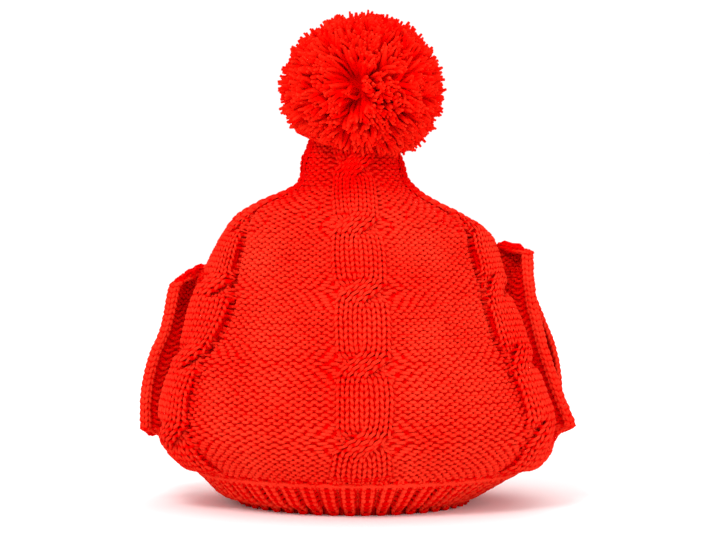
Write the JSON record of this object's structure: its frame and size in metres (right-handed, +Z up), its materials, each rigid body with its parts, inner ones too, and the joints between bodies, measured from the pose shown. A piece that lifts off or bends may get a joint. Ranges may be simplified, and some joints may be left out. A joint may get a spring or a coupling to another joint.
{
  "type": "knitted tea cosy",
  "caption": "Cable-knit pull-on cover for a round teapot, with a ribbed hem, open slits for spout and handle, and a pompom on top.",
  "frame": {"origin": "centre of the cosy's bounding box at the height of the hem's resting face", "axes": "+Z up from the hem to the pompom, -Y toward the front, -X toward the spout slit, +X toward the handle slit"},
  "size_m": [0.2031, 0.1618, 0.2299],
  "materials": {
    "knit": "matte red acrylic double-knitting yarn, knitted",
    "pompom_yarn": "cut ends of the same red yarn"
  },
  "bodies": {
    "root": {"front_panel": "knit", "back_panel": "knit", "pompom": "pompom_yarn"}
  },
  "joints": []
}
